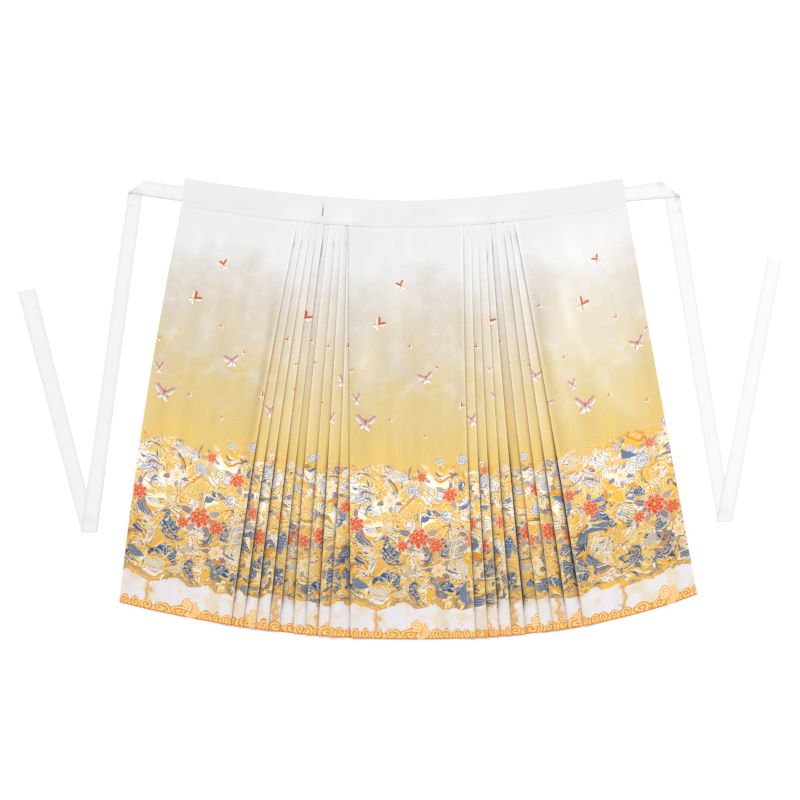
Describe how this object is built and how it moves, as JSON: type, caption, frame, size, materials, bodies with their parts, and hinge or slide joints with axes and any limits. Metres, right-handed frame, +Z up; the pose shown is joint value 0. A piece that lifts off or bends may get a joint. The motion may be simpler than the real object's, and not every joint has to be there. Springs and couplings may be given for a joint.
{
  "type": "horse-face skirt",
  "caption": "Wrap skirt laid flat: flat panels beside banks of facing knife pleats, overlapping in the middle under a sagging folded waistband, with a creased tie at each end",
  "frame": {"origin": "middle of the bounding box on the surface that the skirt lies on", "axes": "+X along the waistband to the right as seen, +Y toward the waistband, +Z up from the surface"},
  "size_m": [1.7574, 1.0605, 0.0134],
  "materials": {
    "printed_cloth": "printed satin, white at the waist shading to gold, patterned band above the hem",
    "band_cloth": "plain white satin",
    "tie_cloth": "plain white satin, pressed flat"
  },
  "bodies": {
    "root": {"left_width": "printed_cloth", "right_width": "printed_cloth", "waistband": "band_cloth", "left_tie_run": "tie_cloth", "left_tie_down": "tie_cloth", "left_tie_up": "tie_cloth", "right_tie_run": "tie_cloth", "right_tie_down": "tie_cloth", "right_tie_up": "tie_cloth"}
  },
  "joints": []
}
